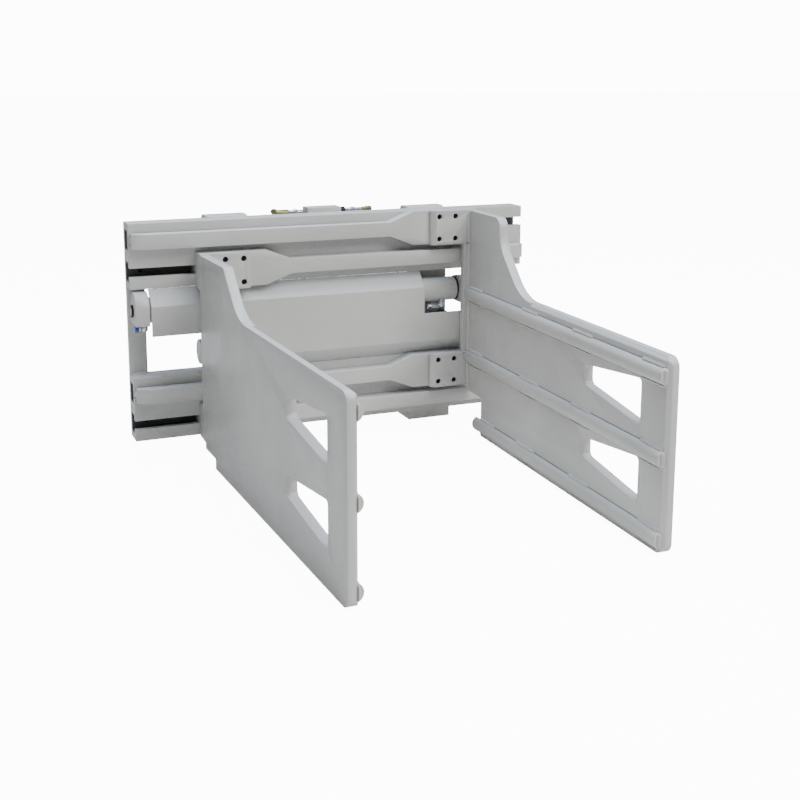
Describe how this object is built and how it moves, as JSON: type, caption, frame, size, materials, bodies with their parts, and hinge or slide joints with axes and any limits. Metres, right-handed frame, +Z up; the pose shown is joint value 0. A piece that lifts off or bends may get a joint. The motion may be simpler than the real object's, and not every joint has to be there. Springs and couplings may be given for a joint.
{
  "type": "forklift bale clamp",
  "caption": "Hydraulic bale clamp for a lift truck: opposed arm plates with ribs and windows slide sideways in a T-slot frame, driven by cylinders.",
  "frame": {"origin": "on the truck carriage face, on the centre plane, level with the seats of the upper hooks", "axes": "+Z up, the arms point along -Y away from the truck, +X to the right when looking along +Y from in front of the arms"},
  "size_m": [1.02, 1.0843, 0.575],
  "materials": {
    "grey_paint": "satin light grey enamel",
    "liner_polymer": "matte, dark filled nylon",
    "black_steel": "satin black oxide",
    "chrome_rod": "polished hard chrome",
    "bare_steel": "machined",
    "silver_zinc": "bright zinc plate",
    "yellow_zinc": "yellow-olive chromate",
    "blue_plastic": "gloss"
  },
  "bodies": {
    "frame": {"upper_rail": "grey_paint", "lower_rail": "grey_paint", "left_upright": "grey_paint", "right_upright": "grey_paint", "left_stile": "grey_paint", "right_stile": "grey_paint", "left_upper_hook": "grey_paint", "right_upper_hook": "grey_paint", "centring_lug": "grey_paint", "left_lower_hook": "grey_paint", "right_lower_hook": "grey_paint", "lower_hook_bolts": "black_steel", "upper_rail_liners": "liner_polymer", "lower_rail_liners": "liner_polymer", "liner_screws": "black_steel", "cylinder_cover": "grey_paint", "cover_spacers": "bare_steel", "cover_screws": "black_steel", "upper_base_bracket": "grey_paint", "lower_base_bracket": "grey_paint", "upper_barrel": "grey_paint", "lower_barrel": "grey_paint", "upper_gland": "black_steel", "lower_gland": "black_steel", "base_nuts": "black_steel", "port_fittings": "silver_zinc", "port_caps": "blue_plastic", "manifold_block": "grey_paint", "manifold_screws": "black_steel", "inlet_adapters": "silver_zinc", "inlet_lock_ring": "black_steel", "inlet_unions": "yellow_zinc"},
    "right_arm": {"right_plate": "grey_paint", "right_rib_top": "grey_paint", "right_rib_middle": "grey_paint", "right_rib_bottom": "grey_paint", "right_upper_bar": "grey_paint", "right_lower_bar": "grey_paint", "right_upper_block": "grey_paint", "right_lower_block": "grey_paint", "right_block_screws": "black_steel", "right_web": "grey_paint", "right_rod_lug": "grey_paint", "right_rod": "chrome_rod", "right_piston": "bare_steel", "right_rod_nut": "grey_paint"},
    "left_arm": {"left_plate": "grey_paint", "left_rib_top": "grey_paint", "left_rib_middle": "grey_paint", "left_rib_bottom": "grey_paint", "left_upper_bar": "grey_paint", "left_lower_bar": "grey_paint", "left_upper_block": "grey_paint", "left_lower_block": "grey_paint", "left_block_screws": "black_steel", "left_web": "grey_paint", "left_rod_lug": "grey_paint", "left_rod": "chrome_rod", "left_piston": "bare_steel", "left_rod_nut": "grey_paint"}
  },
  "joints": [
    {"name": "right_arm_slide", "type": "slide", "parent": "frame", "child": "right_arm", "axis": [1, 0, 0], "range_m": [0, 0.56]},
    {"name": "left_arm_slide", "type": "slide", "parent": "frame", "child": "left_arm", "axis": [-1, 0, 0], "range_m": [0, 0.56]}
  ]
}
